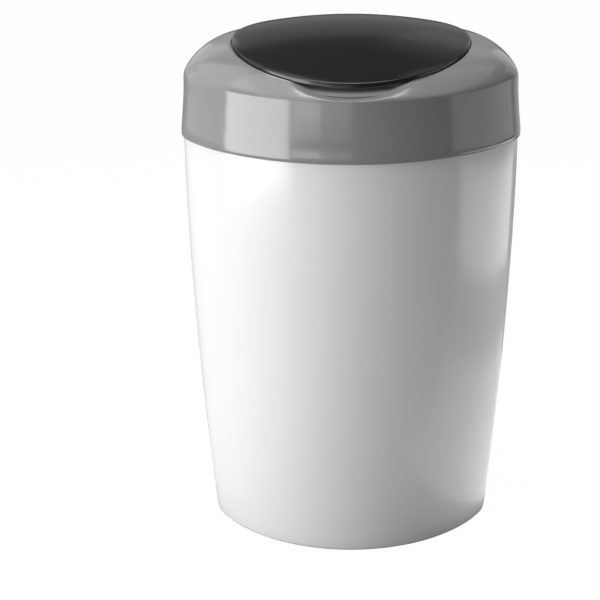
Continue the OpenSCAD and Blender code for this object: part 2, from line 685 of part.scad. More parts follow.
module lid_seal() color(rubber_grey) at_lid_plane() rotate_extrude()
    polygon([[75.4, 0.9], [76.4, panel_z], [79.2, panel_z], [79.2, 0.9], [78.6, 0.2], [77.6, 0.2]]);

module lid_screws() color("silver") at_lid_screws(panel_z - head_h) screw(11);

bin_body();
deck();
cover_hinge_pin();
film_grip();
grip_retainer();
grip_screws();
film_carrier();
refill_tray();
refill_film();
refill_loose_film();
top_cover();
cover_liner();
liner_screws();
dial_retainer();
retainer_screws();
click_springs();
lid_hinge_pin();
twist_dial();
dial_grips();
cutter_guard();
cutter_spring();
cutter_button();
cutter_blade();
flip_lid();
lid_plunger();
lid_seal();
lid_screws();
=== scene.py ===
"""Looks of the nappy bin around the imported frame: shells, film, spring, materials, studio and camera."""
import math

import bmesh
import bpy
import numpy as np
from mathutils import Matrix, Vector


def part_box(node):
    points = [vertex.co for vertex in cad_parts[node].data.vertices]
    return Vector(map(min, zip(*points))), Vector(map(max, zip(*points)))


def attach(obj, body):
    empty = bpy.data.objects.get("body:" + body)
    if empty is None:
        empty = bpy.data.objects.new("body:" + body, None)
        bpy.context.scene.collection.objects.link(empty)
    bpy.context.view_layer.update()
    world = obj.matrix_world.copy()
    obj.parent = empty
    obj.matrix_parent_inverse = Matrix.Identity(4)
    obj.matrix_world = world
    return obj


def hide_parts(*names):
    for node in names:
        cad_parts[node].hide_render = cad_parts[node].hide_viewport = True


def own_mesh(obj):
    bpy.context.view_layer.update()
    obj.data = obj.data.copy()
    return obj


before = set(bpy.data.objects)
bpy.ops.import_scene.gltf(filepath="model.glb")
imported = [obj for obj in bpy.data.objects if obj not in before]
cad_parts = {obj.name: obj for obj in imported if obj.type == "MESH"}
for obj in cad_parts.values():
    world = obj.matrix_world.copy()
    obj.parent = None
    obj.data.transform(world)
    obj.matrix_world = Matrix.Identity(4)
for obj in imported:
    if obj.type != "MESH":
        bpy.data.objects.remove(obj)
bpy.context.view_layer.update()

# All lengths below are millimetres, and a mesh turns into metres when it is made
MM = 0.001
FILM_SEED = 7
rng = np.random.default_rng(FILM_SEED)


def corners(node):
    """Lowest and highest corner of a CAD node, in millimetres."""
    low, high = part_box(node)
    return np.array(low) / MM, np.array(high) / MM


# Sizes taken from the frame
body_high = corners("bin_body")[1]
cover_low, cover_high = corners("top_cover")
lid_low, lid_high = corners("flip_lid")
bin_w = cover_high[0] - cover_low[0]
seam_z = cover_low[2]
neck_z = body_high[2]
lid_r = (lid_high[0] - lid_low[0]) / 2
axis_y = (lid_high[1] + lid_low[1]) / 2
crown_z = lid_high[2]

# Plan outline, as in the CAD
lip_out = 1.8
half_w = bin_w / 2 - lip_out
front_y = cover_low[1] + lip_out
front_bulge = 89.3
corner_r = 35
side_r = 160
nose_r = 80
wide_y = front_y + front_bulge
back_y = body_high[1]

# Walls
base_taper = 16.8
taper_power = 1.85
body_t = 2.6
base_edge_r = 4
neck_in = 4.2
neck_t = 2.4
cover_t = 2.5
wall_z = crown_z - 38
wall_in = 1.2
shoulder_w = 21.5
shoulder_power = 2.2

# Floor of the body and the hollow below it
floor_z = 5
floor_r = 7
foot_w = 9
foot_h = 2
FLOOR_SHARES = (0.08, 0.3, 0.6, 0.85)

# Dome, rebate and collar
dome_y = -3
drop_x = 10 / lid_r ** 2
drop_y = 26.6 / (axis_y - lid_r - dome_y) ** 2
cover_below_lid = 2.2
rebate_r = lid_r + 0.8
rebate_floor = 4.7
rebate_edge_r = 1.1
rebate_fillet = 0.8
collar_r = 80
collar_t = 2.4
collar_z = seam_z + 39

# Finger scoop
scoop_c = np.array([0, front_y - 1.5, wall_z + 54.7])
scoop_size = np.array([86.8, 67, 54])
scoop_back_r = collar_r + 3.5
scoop_fillet = 3
scoop_edge = 1.1
CLEAR_Z = crown_z + 50

# Camera that the photograph was taken with, worked out from the outline
PHOTO_W = 600
camera_y = -1153.9
camera_z = 599.2
camera_pitch = 20.357
camera_focal_px = 1517.7
middle_px = 351
SENSOR = 36


def dome(x, y):
    return crown_z - drop_x * x * x - drop_y * (y - dome_y) ** 2


def dome_ring(dirs, r, below):
    """Ring round the lid's axis that lies below the dome by an even amount."""
    flat = np.array([0, axis_y]) + r * dirs
    return np.column_stack([flat, dome(flat[:, 0], flat[:, 1]) - below])


def taper(z):
    return base_taper * np.clip(1 - z / seam_z, 0, 1) ** taper_power


def unit(v):
    return v / np.linalg.norm(v, axis=-1, keepdims=True)


def heading(v):
    return math.atan2(v[1], v[0])


def round_angles(count):
    """Angles of evenly spaced points round a circle."""
    return np.arange(count) * 2 * math.pi / count


def quarter(steps):
    """Pairs of sine and cosine over a quarter turn."""
    a = np.linspace(0, math.pi / 2, steps)
    return list(zip(np.sin(a), np.cos(a)))


def plan_arcs():
    """Centre, radius, first and last angle of each arc of the plan outline."""
    corner_c = np.array([half_w - corner_r, wide_y])
    front_r = (corner_c[0] ** 2 + front_bulge ** 2 - corner_r ** 2) / (2 * (front_bulge - corner_r))
    front_c = np.array([0, front_y + front_r])
    nose_c = np.array([0, back_y - nose_r])
    span = np.linalg.norm(nose_c - corner_c)
    along = (nose_c - corner_c) / span
    corner_reach = side_r - corner_r
    nose_reach = side_r - nose_r
    side_along = (corner_reach ** 2 - nose_reach ** 2 + span ** 2) / (2 * span)
    side_off = math.sqrt(corner_reach ** 2 - side_along ** 2)
    side_c = corner_c + side_along * along - side_off * np.array([along[1], -along[0]])
    a_front = heading(corner_c - front_c)
    a_corner = heading(corner_c - side_c)
    a_side = heading(nose_c - side_c)
    flip = np.array([-1, 1])
    return [(front_c, front_r, -math.pi - a_front, a_front),
            (corner_c, corner_r, a_front, a_corner),
            (side_c, side_r, a_corner, a_side),
            (nose_c, nose_r, a_side, math.pi - a_side),
            (flip * side_c, side_r, math.pi - a_side, math.pi - a_corner),
            (flip * corner_c, corner_r, math.pi - a_corner, math.pi - a_front)]


def blurred(points, spacing, sigma):
    """Closed curve of evenly spaced points, with its bends eased over a length of sigma."""
    frequency = np.fft.fftfreq(len(points), d=spacing)
    weight = np.exp(-2 * (math.pi * sigma * frequency) ** 2)
    return np.real(np.fft.ifft(np.fft.fft(points, axis=0) * weight[:, None], axis=0))


def dense_outline(spacing=0.25, easing=5):
    """The plan outline as close points, with the joints between its arcs eased as on a moulded part."""
    points = []
    for centre, radius, first, last in plan_arcs():
        steps = round(abs(last - first) * radius / spacing)
        t = first + (last - first) * np.arange(steps)[:, None] / steps
        points.append(centre + radius * np.hstack([np.cos(t), np.sin(t)]))
    soft = blurred(np.vstack(points), spacing, easing)
    low, high = soft.min(0), soft.max(0)
    wanted_low, wanted_high = np.array([-half_w, front_y]), np.array([half_w, back_y])
    return wanted_low + (soft - low) * (wanted_high - wanted_low) / (high - low)


OUTLINE = dense_outline()


class Plan:
    """Points along the plan outline with their outward directions.

    With a fine step, the points lie closer together over the front, up to fine_half from the middle.
    """

    FINE_BLEND = 20
    FRONT_MARGIN = 10
    WIDEST_SHOULDER = 1.5

    def __init__(self, step, fine_step=None, fine_half=0):
        n = len(OUTLINE)
        ahead = np.roll(OUTLINE, -1, axis=0)
        length = np.linalg.norm(ahead - OUTLINE, axis=1)
        wish = np.full(n, float(step))
        if fine_step:
            from_edge = np.abs(OUTLINE[:, 0]) - fine_half
            share = np.clip(from_edge / self.FINE_BLEND, 0, 1)
            front = OUTLINE[:, 1] < wide_y - self.FRONT_MARGIN
            wish = np.where(front, fine_step + (step - fine_step) * share, step)
        travelled = np.concatenate([[0], np.cumsum(length / wish)])
        self.n = int(round(travelled[-1]))
        marks = np.arange(self.n) * travelled[-1] / self.n
        place = np.interp(marks, travelled, np.arange(n + 1))
        k = np.floor(place).astype(int) % n
        part = (place - np.floor(place))[:, None]
        self.p = OUTLINE[k] * (1 - part) + OUTLINE[(k + 1) % n] * part
        tangent = unit(np.roll(OUTLINE, -2, axis=0) - np.roll(OUTLINE, 2, axis=0))
        t = tangent[k] * (1 - part) + tangent[(k + 1) % n] * part
        self.out = unit(np.stack([t[:, 1], -t[:, 0]], axis=1))
        self.dirs = unit(self.p - [0, axis_y])

    def ring(self, inset, z):
        return np.column_stack([self.p - inset * self.out, np.full(self.n, z)])

    def shrunk(self, inset, share, z):
        """Level ring of a floor, scaled towards the middle of the plan."""
        middle = np.array([0, (front_y + back_y) / 2])
        flat = middle + (self.p - inset * self.out - middle) * share
        return np.column_stack([flat, np.full(self.n, z)])

    def dome_ring(self, r, below):
        return dome_ring(self.dirs, r, below)

    def level_ring(self, r, z):
        flat = np.array([0, axis_y]) + r * self.dirs
        return np.column_stack([flat, np.full(self.n, z)])

    def shoulder_ring(self, s, inset, r, below, width):
        """Ring on the rounded shoulder, at a share s of the way from the wall to the lid's rebate."""
        wall = self.p - inset * self.out
        goal = np.array([0, axis_y]) + r * self.dirs
        reach = np.linalg.norm(goal - wall, axis=1)
        flat = wall + s * (goal - wall)
        q = np.minimum(1, s * reach / np.minimum(width, self.WIDEST_SHOULDER * reach))
        climb = (1 - (1 - q) ** shoulder_power) ** (1 / shoulder_power)
        top = dome(flat[:, 0], flat[:, 1]) - below
        return np.column_stack([flat, wall_z + (top - wall_z) * climb])


def smooth_curve(knots, steps):
    """Evenly spaced points on a cubic curve through the knots."""
    knots = np.array(knots, float)
    t = np.concatenate([[0], np.cumsum(np.linalg.norm(np.diff(knots, axis=0), axis=1))])
    slope = np.gradient(knots, t, axis=0)
    at = np.linspace(0, t[-1], steps)
    k = np.clip(np.searchsorted(t, at, side="right") - 1, 0, len(t) - 2)
    h = (t[k + 1] - t[k])[:, None]
    u = ((at - t[k])[:, None]) / h
    return ((2 * u ** 3 - 3 * u ** 2 + 1) * knots[k] + (u ** 3 - 2 * u ** 2 + u) * h * slope[k]
            + (3 * u ** 2 - 2 * u ** 3) * knots[k + 1] + (u ** 3 - u ** 2) * h * slope[k + 1])


# Meshes

WELD_M = 2e-6
SLIVER_M = 1e-6


def mesh_piece(name, points, faces, material, body, sharp_deg=35):
    """Mesh object from points in millimetres, on a CAD body."""
    mesh = bpy.data.meshes.new(name)
    mesh.from_pydata((np.asarray(points) * MM).tolist(), [], faces)
    work = bmesh.new()
    work.from_mesh(mesh)
    bmesh.ops.remove_doubles(work, verts=work.verts, dist=WELD_M)
    bmesh.ops.dissolve_degenerate(work, edges=work.edges, dist=SLIVER_M)
    bmesh.ops.recalc_face_normals(work, faces=work.faces)
    work.to_mesh(mesh)
    work.free()
    mesh.polygons.foreach_set("use_smooth", [True] * len(mesh.polygons))
    mesh.set_sharp_from_angle(angle=math.radians(sharp_deg))
    piece = bpy.data.objects.new(name, mesh)
    bpy.context.scene.collection.objects.link(piece)
    mesh.materials.append(material)
    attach(piece, body)
    return piece


def lattice(rings):
    """Points and quads of rings with equal numbers of points, with the last ring joined to the first."""
    n = len(rings[0])
    m = len(rings)
    faces = []
    for j in range(m):
        a, b = j * n, (j + 1) % m * n
        faces += [(a + i, b + i, b + (i + 1) % n, a + (i + 1) % n) for i in range(n)]
    return np.vstack(rings), faces


def apply_modifier(obj, modifier_name):
    with bpy.context.temp_override(object=obj, active_object=obj, selected_objects=[obj]):
        bpy.ops.object.modifier_apply(modifier=modifier_name)


def cut_box(piece, low, high, bevel):
    """Cuts a box with eased corners out of a piece."""
    low, high = np.array(low) * MM, np.array(high) * MM
    mesh = bpy.data.meshes.new("cutter")
    work = bmesh.new()
    bmesh.ops.create_cube(work, size=1)
    for v in work.verts:
        v.co = [(a + b) / 2 + c * (b - a) for a, b, c in zip(low, high, v.co)]
    bmesh.ops.bevel(work, geom=work.edges[:], offset=bevel * MM, segments=4, profile=0.5, affect="EDGES")
    work.to_mesh(mesh)
    work.free()
    cutter = bpy.data.objects.new("cutter", mesh)
    bpy.context.scene.collection.objects.link(cutter)
    boolean = piece.modifiers.new("cut", "BOOLEAN")
    boolean.operation = "DIFFERENCE"
    boolean.solver = "EXACT"
    boolean.object = cutter
    apply_modifier(piece, "cut")
    bpy.data.objects.remove(cutter)


# Materials

# Scale and detail of each noise, in the shader's own units
CLOUDS = (14, 3)
SMUDGES = (38, 4)
SKIN = (170, 1)
GRAIN = (2400, 2)
FILM_CLOUDS = (90, 4)
FILM_WRINKLES = (500, 5)

# Depth of each relief, in metres
SKIN_DEPTH = 0.0006
GRAIN_DEPTH = 0.0001
WRINKLE_DEPTH = 0.0006

# Range that most of a noise lies in
NOISE_LOW = 0.3
NOISE_HIGH = 0.7

FILM_MILKY = (0.93, 0.96, 0.94)
FILM_IOR = 1.5
STEEL_MARKS = (60, 1800, 1800)


def new_material(name):
    material = bpy.data.materials.new(name)
    material.use_nodes = True
    tree = material.node_tree
    return material, tree, tree.nodes["Principled BSDF"]


def link(tree, source, output, target, socket):
    tree.links.new(source.outputs[output], target.inputs[socket])


def noise_node(tree, scale_and_detail, coordinates):
    node = tree.nodes.new("ShaderNodeTexNoise")
    node.inputs["Scale"].default_value, node.inputs["Detail"].default_value = scale_and_detail
    link(tree, coordinates, "Object", node, "Vector")
    return node


def ramp_node(tree, noise, low, high):
    """Turns a noise into a number between low and high."""
    node = tree.nodes.new("ShaderNodeMapRange")
    node.inputs["From Min"].default_value = NOISE_LOW
    node.inputs["From Max"].default_value = NOISE_HIGH
    node.inputs["To Min"].default_value = low
    node.inputs["To Max"].default_value = high
    link(tree, noise, "Fac", node, "Value")
    return node


def tint_node(tree, noise, first, second):
    """Colour that wanders between two colours with a noise."""
    node = tree.nodes.new("ShaderNodeMix")
    node.data_type = "RGBA"
    node.inputs["A"].default_value = (*first, 1)
    node.inputs["B"].default_value = (*second, 1)
    link(tree, noise, "Fac", node, "Factor")
    return node


def bump_node(tree, noise, strength, depth):
    node = tree.nodes.new("ShaderNodeBump")
    node.inputs["Strength"].default_value = strength
    node.inputs["Distance"].default_value = depth
    link(tree, noise, "Fac", node, "Height")
    return node


def moulded(name, colour, roughness, spread=0.03, wave=0.02, grain=0.0, ior=1.46, tint=0.985):
    """Injection-moulded plastic: faint clouding, uneven gloss, and the slow waves of a moulded skin."""
    material, tree, shader = new_material(name)
    coordinates = tree.nodes.new("ShaderNodeTexCoord")
    cloud = noise_node(tree, CLOUDS, coordinates)
    mix = tint_node(tree, cloud, colour, [c * tint for c in colour])
    link(tree, mix, "Result", shader, "Base Color")
    smudge = noise_node(tree, SMUDGES, coordinates)
    gloss = ramp_node(tree, smudge, roughness, roughness + spread)
    link(tree, gloss, "Result", shader, "Roughness")
    shader.inputs["IOR"].default_value = ior
    relief = bump_node(tree, noise_node(tree, SKIN, coordinates), wave, SKIN_DEPTH)
    if grain:
        fine = bump_node(tree, noise_node(tree, GRAIN, coordinates), grain, GRAIN_DEPTH)
        link(tree, relief, "Normal", fine, "Normal")
        relief = fine
    link(tree, relief, "Normal", shader, "Normal")
    return material


def steel(name, colour, smoothest, roughest):
    """Plated steel, with fine marks along X."""
    material, tree, shader = new_material(name)
    coordinates = tree.nodes.new("ShaderNodeTexCoord")
    mapping = tree.nodes.new("ShaderNodeMapping")
    mapping.inputs["Scale"].default_value = STEEL_MARKS
    link(tree, coordinates, "Object", mapping, "Vector")
    marks = tree.nodes.new("ShaderNodeTexNoise")
    marks.inputs["Scale"].default_value = 1
    link(tree, mapping, "Vector", marks, "Vector")
    gloss = ramp_node(tree, marks, smoothest, roughest)
    link(tree, gloss, "Result", shader, "Roughness")
    shader.inputs["Base Color"].default_value = (*colour, 1)
    shader.inputs["Metallic"].default_value = 1
    return material


def film_material(name, colour, roughness, clear, wrinkle=0.35):
    """Thin plastic film, cloudy with a sheen."""
    material, tree, shader = new_material(name)
    coordinates = tree.nodes.new("ShaderNodeTexCoord")
    cloud = noise_node(tree, FILM_CLOUDS, coordinates)
    mix = tint_node(tree, cloud, colour, FILM_MILKY)
    link(tree, mix, "Result", shader, "Base Color")
    shader.inputs["Roughness"].default_value = roughness
    shader.inputs["IOR"].default_value = FILM_IOR
    shader.inputs["Transmission Weight"].default_value = clear
    relief = bump_node(tree, noise_node(tree, FILM_WRINKLES, coordinates), wrinkle, WRINKLE_DEPTH)
    link(tree, relief, "Normal", shader, "Normal")
    return material


body_white = moulded("body_white", (0.83, 0.83, 0.832), 0.16)
cover_grey = moulded("cover_grey", (0.26, 0.26, 0.263), 0.12, ior=1.5)
lid_black = moulded("lid_black", (0.013, 0.013, 0.014), 0.17, spread=0.04, tint=0.9)
inner_plastic = moulded("inner_plastic", (0.62, 0.63, 0.635), 0.34, grain=0.12)
refill_plastic = moulded("refill_plastic", (0.80, 0.84, 0.82), 0.3, tint=0.95)
dark_plastic = moulded("dark_plastic", (0.16, 0.165, 0.17), 0.38, grain=0.2)
grip_rubber = moulded("grip_rubber", (0.10, 0.105, 0.11), 0.6, grain=0.4)
steel_plated = steel("steel_plated", (0.60, 0.60, 0.61), 0.22, 0.38)
film_green = film_material("film_green", (0.66, 0.83, 0.72), 0.35, 0.25)
film_clear = film_material("film_clear", (0.84, 0.92, 0.87), 0.18, 0.55)

FINISH = {"inner_plastic": inner_plastic, "dark_plastic": dark_plastic, "grip_rubber": grip_rubber,
          "steel": steel_plated, "refill_plastic": refill_plastic, "body_white": body_white,
          "cover_grey": cover_grey, "lid_black": lid_black, "film": film_green}
for node_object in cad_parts.values():
    finish = FINISH[node_object.material_slots[0].name]
    for entry in node_object.material_slots:
        entry.material = finish


# White body


def body_rings(plan):
    """Rings from the foot up the outside, over the neck, down the inside and out below the floor."""
    rings = [plan.ring(taper(0) + base_edge_r * (1 - s), base_edge_r * (1 - c)) for s, c in quarter(7)]
    wall_start, wall_end = base_edge_r + 3, seam_z - 0.6
    rings += [plan.ring(taper(z), z) for z in np.linspace(wall_start, wall_end, 44)]

    shelf_z, shelf_edge_r, shelf_fillet = seam_z - 0.15, 0.3, 0.5
    rings += [plan.ring(shelf_edge_r * (1 - c), shelf_z - shelf_edge_r * (1 - s)) for s, c in quarter(4)]
    rings += [plan.ring(neck_in - shelf_fillet, shelf_z), plan.ring(neck_in, shelf_z + shelf_fillet)]

    neck_edge, neck_edge_middle, neck_inner_edge = 0.7, 0.2, 0.5
    neck_back, neck_foot = neck_in + neck_t, seam_z - 4
    rings += [plan.ring(neck_in, neck_z - neck_edge),
              plan.ring(neck_in + neck_edge_middle, neck_z - neck_edge_middle),
              plan.ring(neck_in + neck_edge, neck_z), plan.ring(neck_back - neck_inner_edge, neck_z),
              plan.ring(neck_back, neck_z - neck_inner_edge), plan.ring(neck_back, neck_foot)]

    under_shelf, under_shelf_in = seam_z - 6, body_t + 0.1
    inside_top, inside_low = seam_z - 20, 20
    rings.append(plan.ring(under_shelf_in, under_shelf))
    rings += [plan.ring(taper(z) + body_t, z) for z in np.linspace(inside_top, inside_low, 20)]

    for s, c in quarter(6):
        inset = taper(floor_z) + body_t + floor_r * (1 - c)
        rings.append(plan.ring(inset, floor_z + floor_r * (1 - s)))
    inset = taper(floor_z) + body_t + floor_r
    rings += [plan.shrunk(inset, share, floor_z) for share in FLOOR_SHARES[::-1]]

    foot_edge = 0.4
    inset = taper(0) + base_edge_r + foot_w
    rings += [plan.shrunk(inset, share, foot_h) for share in (*FLOOR_SHARES, 1)]
    rings += [plan.ring(inset, foot_edge), plan.ring(inset - foot_edge, 0)]
    return rings


def make_body():
    points, faces = lattice(body_rings(Plan(2.4)))
    piece = mesh_piece("body_shell", points, faces, body_white, "bin")
    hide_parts("bin_body")


# Grey cover

# Outer wall of the cover from the lip up to the shoulder, as inset and height above the seam
WALL_PROFILE = [(0.6 - lip_out, 0), (0.25 - lip_out, 0.2), (0.08 - lip_out, 0.6), (0.02 - lip_out, 1.4),
                (-lip_out, 3), (0.1 - lip_out, 5.4), (-1.45, 8.4), (-1.12, 11.6), (-0.75, 14.8),
                (-0.42, 18), (0.2, 25), (0.8, 33), (wall_in, wall_z - seam_z)]

# Inner wall of the cover from the shoulder down to the lip
INNER_PROFILE = [(cover_t + wall_in, wall_z - seam_z), (cover_t + 0.2, 24), (cover_t - 1.3, 10),
                 (cover_t - lip_out + 0.3, 0.3), (cover_t - lip_out + 0.1, 0)]


def scoop_bowl(x, y, grown=0):
    """Height of the scoop's ellipsoid, grown by a wall's thickness where asked, and where it lies."""
    size = scoop_size + grown
    spread = ((x - scoop_c[0]) / size[0]) ** 2 + ((y - scoop_c[1]) / size[1]) ** 2
    return scoop_c[2] - size[2] * np.sqrt(np.clip(1 - spread, 0, None)), spread < 1


def scoop_floor(x, y):
    """Height of the finger scoop's surface, high above the cover where there is no scoop."""
    bowl, inside = scoop_bowl(x, y)
    away = np.hypot(x, y - axis_y) - scoop_back_r
    near = np.clip(1 - away / scoop_fillet, 0, 1)
    rise = scoop_fillet * (1 - np.sqrt(np.clip(1 - near ** 2, 0, None)))
    return np.where(inside & (away > -1e-6), bowl + rise, CLEAR_Z)


def soft_min(a, b, k):
    """Lower of two surfaces, with the edge between them rounded."""
    h = np.clip(0.5 + 0.5 * (b - a) / k, 0, 1)
    return b * (1 - h) + a * h - k * h * (1 - h)


def scooped(ring):
    """Brings the outside of the cover down to the scoop."""
    ring = ring.copy()
    ring[:, 2] = soft_min(ring[:, 2], scoop_floor(ring[:, 0], ring[:, 1]), scoop_edge)
    return ring


def under_scoop(ring):
    """Keeps the inside of the cover a wall's thickness below the scoop."""
    ring = ring.copy()
    bowl, inside = scoop_bowl(ring[:, 0], ring[:, 1], cover_t)
    ring[:, 2] = np.minimum(ring[:, 2], np.where(inside, bowl, CLEAR_Z))
    return ring


def cover_outside(plan):
    """Rings from the lip up the wall, over the shoulder and down into the rebate for the lid."""
    rings = [plan.ring(inset, seam_z + up) for inset, up in smooth_curve(WALL_PROFILE, 34)]
    edge_top = rebate_r + rebate_edge_r
    close_below, close_above = 1.9, 0.9
    for q in np.linspace(0, 1, 66)[1:]:
        s = 1 - (1 - q ** close_below) ** close_above
        rings.append(plan.shoulder_ring(s, wall_in, edge_top, cover_below_lid, shoulder_w))
    for s, c in quarter(6):
        r, below = rebate_r + rebate_edge_r * (1 - s), cover_below_lid + rebate_edge_r * (1 - c)
        rings.append(plan.dome_ring(r, below))
    rebate_wall_low = rebate_floor - 1.2
    rings.append(plan.dome_ring(rebate_r, rebate_wall_low))
    for s, c in quarter(5):
        r, below = rebate_r - rebate_fillet * (1 - c), rebate_floor - rebate_fillet * (1 - s)
        rings.append(plan.dome_ring(r, below))
    floor_w = rebate_r - rebate_fillet - scoop_back_r
    close_inside = 1.5
    for share in np.linspace(0, 1, 12)[1:]:
        rings.append(plan.dome_ring(scoop_back_r + floor_w * (1 - share) ** close_inside, rebate_floor))
    return [scooped(ring) for ring in rings]


def collar_rings(plan):
    """Rings along the rebate's floor to the collar, down and up the collar and out under the rebate."""
    edge, edge_middle = 0.6, 0.15
    under = rebate_floor + collar_t
    return [plan.dome_ring(scoop_back_r - edge_middle, rebate_floor),
            plan.dome_ring(scoop_back_r - edge, rebate_floor),
            plan.dome_ring(collar_r + edge, rebate_floor),
            plan.dome_ring(collar_r + edge_middle, rebate_floor + edge_middle),
            plan.dome_ring(collar_r, rebate_floor + edge),
            plan.level_ring(collar_r, collar_z),
            plan.level_ring(collar_r + collar_t, collar_z),
            plan.dome_ring(collar_r + collar_t, under),
            plan.dome_ring(rebate_r + cover_t, under)]


def cover_rings(plan):
    rings = cover_outside(plan)
    scoop_foot = rings[-1]
    scoop_top = plan.dome_ring(scoop_back_r, rebate_floor)
    rings += [scoop_foot * (1 - share) + scoop_top * share for share in (0.35, 0.7, 0.93)]
    rings += collar_rings(plan)
    for s in (1, 0.7, 0.45, 0.25, 0.1):
        ring = plan.shoulder_ring(s, wall_in + cover_t, rebate_r + cover_t, cover_below_lid + cover_t,
                                  shoulder_w - cover_t)
        rings.append(under_scoop(ring))
    rings += [under_scoop(plan.ring(inset, seam_z + up)) for inset, up in INNER_PROFILE]
    return rings


def make_cover():
    plan = Plan(2.4, fine_step=0.55, fine_half=52)
    points, faces = lattice(cover_rings(plan))
    piece = mesh_piece("cover_shell", points, faces, cover_grey, "cover")

    # Gap in the wall for the hinge at the back
    pin_y, pin_z = 118.4, seam_z + 3.6
    half_gap, ahead, behind, below, above, ease = 26.5, 16, 40, 25, 12.8, 2
    cut_box(piece, [-half_gap, pin_y - ahead, seam_z - below],
            [half_gap, pin_y + behind, pin_z + above], ease)

    # Gap in the rebate for the hinge of the lid
    lid_back = axis_y + lid_r
    pin_y, pin_z = lid_back + 4, dome(0, lid_back) - 4.5
    half_gap, ahead, behind, below, above, ease = 22, 3, 6.4, 8.5, 20, 1.2
    cut_box(piece, [-half_gap, axis_y + collar_r - ahead, pin_z - below],
            [half_gap, pin_y + behind, crown_z + above], ease)
    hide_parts("top_cover")


# Black lid


def make_lid():
    """Domed lid with a soft band round its edge, a rounded rim and a stepped underside."""
    angle = round_angles(192)
    dirs = np.column_stack([np.cos(angle), np.sin(angle)])
    least_r = 0.5
    edge_r, band_w, band_drop, band_power = 0.35, 4.2, 0.3, 1.8
    top_r = lid_r - edge_r - band_w - 0.8
    rim_h, under_h, under_r, under_step = 3.5, 2.6, 84, 0.6

    profile = [(r, 0) for r in np.linspace(least_r, top_r, 34)]
    for share in np.linspace(0, 1, 9):
        profile.append((lid_r - edge_r - band_w * (1 - share), band_drop * share ** band_power))
    for s, c in quarter(6)[1:]:
        profile.append((lid_r - edge_r * (1 - s), band_drop + edge_r * (0.25 * s + 0.75 * (1 - c))))
    profile += [(lid_r, 3.0), (lid_r - 0.2, 3.35), (lid_r - 0.6, rim_h)]
    profile += [(under_r + 2 * under_step, rim_h), (under_r + under_step, 3.2)]
    profile += [(r, under_h) for r in np.linspace(under_r, least_r, 16)]

    points, faces = lattice([dome_ring(dirs, r, below) for r, below in profile])
    piece = mesh_piece("lid_shell", points, faces, lid_black, "lid")
    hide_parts("flip_lid")


# Film of the refill


def waves(angle, counts, amplitudes):
    """Sum of sines round the ring, each with a phase of its own."""
    total = np.zeros_like(angle)
    for count, amplitude in zip(counts, amplitudes):
        total = total + amplitude * np.sin(count * angle + rng.uniform(0, 2 * math.pi))
    return total


def polar_ring(angle, r, z):
    return np.column_stack([r * np.cos(angle), axis_y + r * np.sin(angle), z + np.zeros_like(angle)])


# Way round one folded edge of the film, as share of the pleat's height and distance back from the fold
FOLD = ((0.06, 1.3), (0.3, 0.25), (0.5, 0), (0.7, 0.25), (0.94, 1.3))


def make_film_pack():
    """Film packed into the tray: a stack of flat pleats, with their folded edges inside and outside."""
    low, high = corners("refill_film")
    outer_r = (high[0] - low[0]) / 2
    inner_r = 59.5
    pleats = 30
    margin, fold_back, uneven = 0.3, 0.7, 0.25
    angle = round_angles(240)
    pitch = (high[2] - low[2] - 2 * margin) / pleats
    sag = waves(angle, (2, 3, 7), (0.25, 0.2, 0.12))
    rings = []

    def folds(order, edge_r, way):
        for k in order:
            crease = waves(angle, (5, 11, 23, 41), (0.18, 0.14, 0.1, 0.08))
            crease = crease + rng.uniform(-uneven, uneven)
            lift = 0.1 * waves(angle, (9, 17), (0.6, 0.4)) + sag * (k + 0.5) / pleats
            z = low[2] + margin + pitch * k
            for share, back in FOLD[::way]:
                r = edge_r - way * (back + fold_back) + crease
                rings.append(polar_ring(angle, r, z + pitch * share + lift))

    folds(range(pleats), outer_r, 1)
    top = rings[-1][:, 2].copy()
    for r in np.linspace(outer_r - 4, inner_r + 3, 10):
        rings.append(polar_ring(angle, r, top + 0.12 * waves(angle, (13, 29), (1, 0.8))))
    folds(range(pleats - 1, -1, -1), inner_r, -1)
    points, faces = lattice(rings)
    piece = mesh_piece("film_pack", points, faces, film_green, "refill", sharp_deg=70)
    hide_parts("refill_film")


# Gathers of the loose film, as their count round the ring and their height
GATHERS = ((17, 1.1), (31, 1.3), (47, 0.9), (83, 0.35))


def ridged(angle, count, phase, sharp):
    return 1 - np.abs(np.sin(count * angle / 2 + phase)) ** sharp


